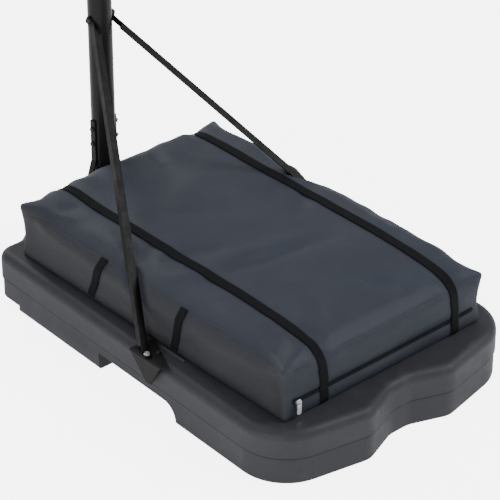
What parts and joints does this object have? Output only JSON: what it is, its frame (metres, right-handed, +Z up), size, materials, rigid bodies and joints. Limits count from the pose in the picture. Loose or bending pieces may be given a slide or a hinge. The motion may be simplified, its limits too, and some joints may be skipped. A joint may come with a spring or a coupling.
{
  "type": "portable basketball hoop",
  "caption": "Portable basketball hoop: wheeled water-filled base with a strapped ballast bag, strut-braced telescoping pole, framed backboard, breakaway rim and net.",
  "frame": {"origin": "on the floor under the pole's axis, on the flat face of the pole's foot plug", "axes": "+Z up along the pole, -Y towards the court, +X to the right of a player who faces the board"},
  "size_m": [1.118, 2.0248, 3.635],
  "materials": {
    "tank_hdpe": "satin",
    "cap_plastic": "satin",
    "seal_rubber": "matte",
    "wheel_plastic": "satin",
    "zinc_steel": "satin",
    "black_bolt": "satin",
    "powder_black": "satin",
    "bracket_black": "satin",
    "bag_fabric": "satin",
    "webbing": "matte",
    "pouch_plastic": "matte",
    "zip_tape": "matte",
    "zip_metal": "polished",
    "board_clear": "gloss",
    "rim_orange": "gloss",
    "spring_steel": "satin",
    "net_cord": "matte"
  },
  "bodies": {
    "base": {"axle_push_nuts": "zinc_steel", "bag_cover": "bag_fabric", "foot_strap_bolts": "zinc_steel", "foot_strap_left": "bracket_black", "foot_strap_nuts": "zinc_steel", "foot_strap_right": "bracket_black", "foot_strap_screws": "zinc_steel", "lower_pole": "powder_black", "middle_pole": "powder_black", "pole_collar": "cap_plastic", "pole_foot_plug": "cap_plastic", "pole_joint_screws": "zinc_steel", "sand_pouch_1": "pouch_plastic", "sand_pouch_2": "pouch_plastic", "sand_pouch_3": "pouch_plastic", "sand_pouch_4": "pouch_plastic", "side_strap_front_left": "webbing", "side_strap_front_right": "webbing", "side_strap_rear_left": "webbing", "side_strap_rear_right": "webbing", "strap_left": "webbing", "strap_right": "webbing", "strut_foot_bolts": "zinc_steel", "strut_foot_nuts": "zinc_steel", "strut_left": "powder_black", "strut_plate_left": "bracket_black", "strut_plate_right": "bracket_black", "strut_plate_screws": "black_bolt", "strut_right": "powder_black", "strut_top_bolt": "black_bolt", "strut_top_nut": "black_bolt", "tank_shell": "tank_hdpe", "wheel_axle": "zinc_steel", "zip_tape": "zip_tape"},
    "wheel_right": {"wheel_right": "wheel_plastic"},
    "wheel_left": {"wheel_left": "wheel_plastic"},
    "fill_cap": {"fill_cap": "cap_plastic", "fill_cap_seal": "seal_rubber"},
    "zip_slider": {"zip_slider": "zip_metal"},
    "zip_pull": {"zip_pull": "zip_metal"},
    "clamp_knob": {"clamp_knob": "cap_plastic", "clamp_stud": "zinc_steel"},
    "mast": {"inner_pole": "powder_black", "guide_bush": "cap_plastic", "pole_cap": "cap_plastic", "board_panel": "board_clear", "board_frame": "powder_black", "panel_screws": "black_bolt", "board_arms_lower": "powder_black", "board_arms_upper": "powder_black", "arm_cross_bolts": "zinc_steel", "arm_cross_nuts": "zinc_steel", "arm_rail_bolts": "zinc_steel", "rim_mount": "rim_orange", "rim_pin": "zinc_steel", "rim_bolts": "zinc_steel", "rim_nuts": "zinc_steel", "rim_springs": "spring_steel"},
    "rim": {"rim_ring": "rim_orange", "net": "net_cord"}
  },
  "joints": [
    {"name": "wheel_right_spin", "type": "hinge", "parent": "base", "child": "wheel_right", "pos_m": [0.22, 0, 0.06], "axis": [1, 0, 0], "continuous": true},
    {"name": "wheel_left_spin", "type": "hinge", "parent": "base", "child": "wheel_left", "pos_m": [-0.22, 0, 0.06], "axis": [1, 0, 0], "continuous": true},
    {"name": "fill_cap_turn", "type": "hinge", "parent": "base", "child": "fill_cap", "pos_m": [-0.215, 0.014, 0.16], "axis": [0, 0, 1], "range_deg": [0, 270]},
    {"name": "zip_slide", "type": "slide", "parent": "base", "child": "zip_slider", "axis": [-1, 0, 0], "range_m": [0, 0.56]},
    {"name": "zip_pull_swing", "type": "hinge", "parent": "zip_slider", "child": "zip_pull", "pos_m": [0.288, 1.072, 0.1972], "axis": [1, 0, 0], "range_deg": [0, 110]},
    {"name": "clamp_knob_turn", "type": "hinge", "parent": "base", "child": "clamp_knob", "pos_m": [0, 0.06, 1.86], "axis": [0, 1, 0], "range_deg": [0, 360]},
    {"name": "height_slide", "type": "slide", "parent": "base", "child": "mast", "axis": [0, 0, 1], "range_m": [-0.762, 0]},
    {"name": "rim_breakaway", "type": "hinge", "parent": "mast", "child": "rim", "pos_m": [0, -0.262, 3.04], "axis": [1, 0, 0], "range_deg": [0, 20], "stiffness_Nm_per_rad": 60, "springref_deg": -28.65, "deforming": ["rim_springs"]}
  ]
}
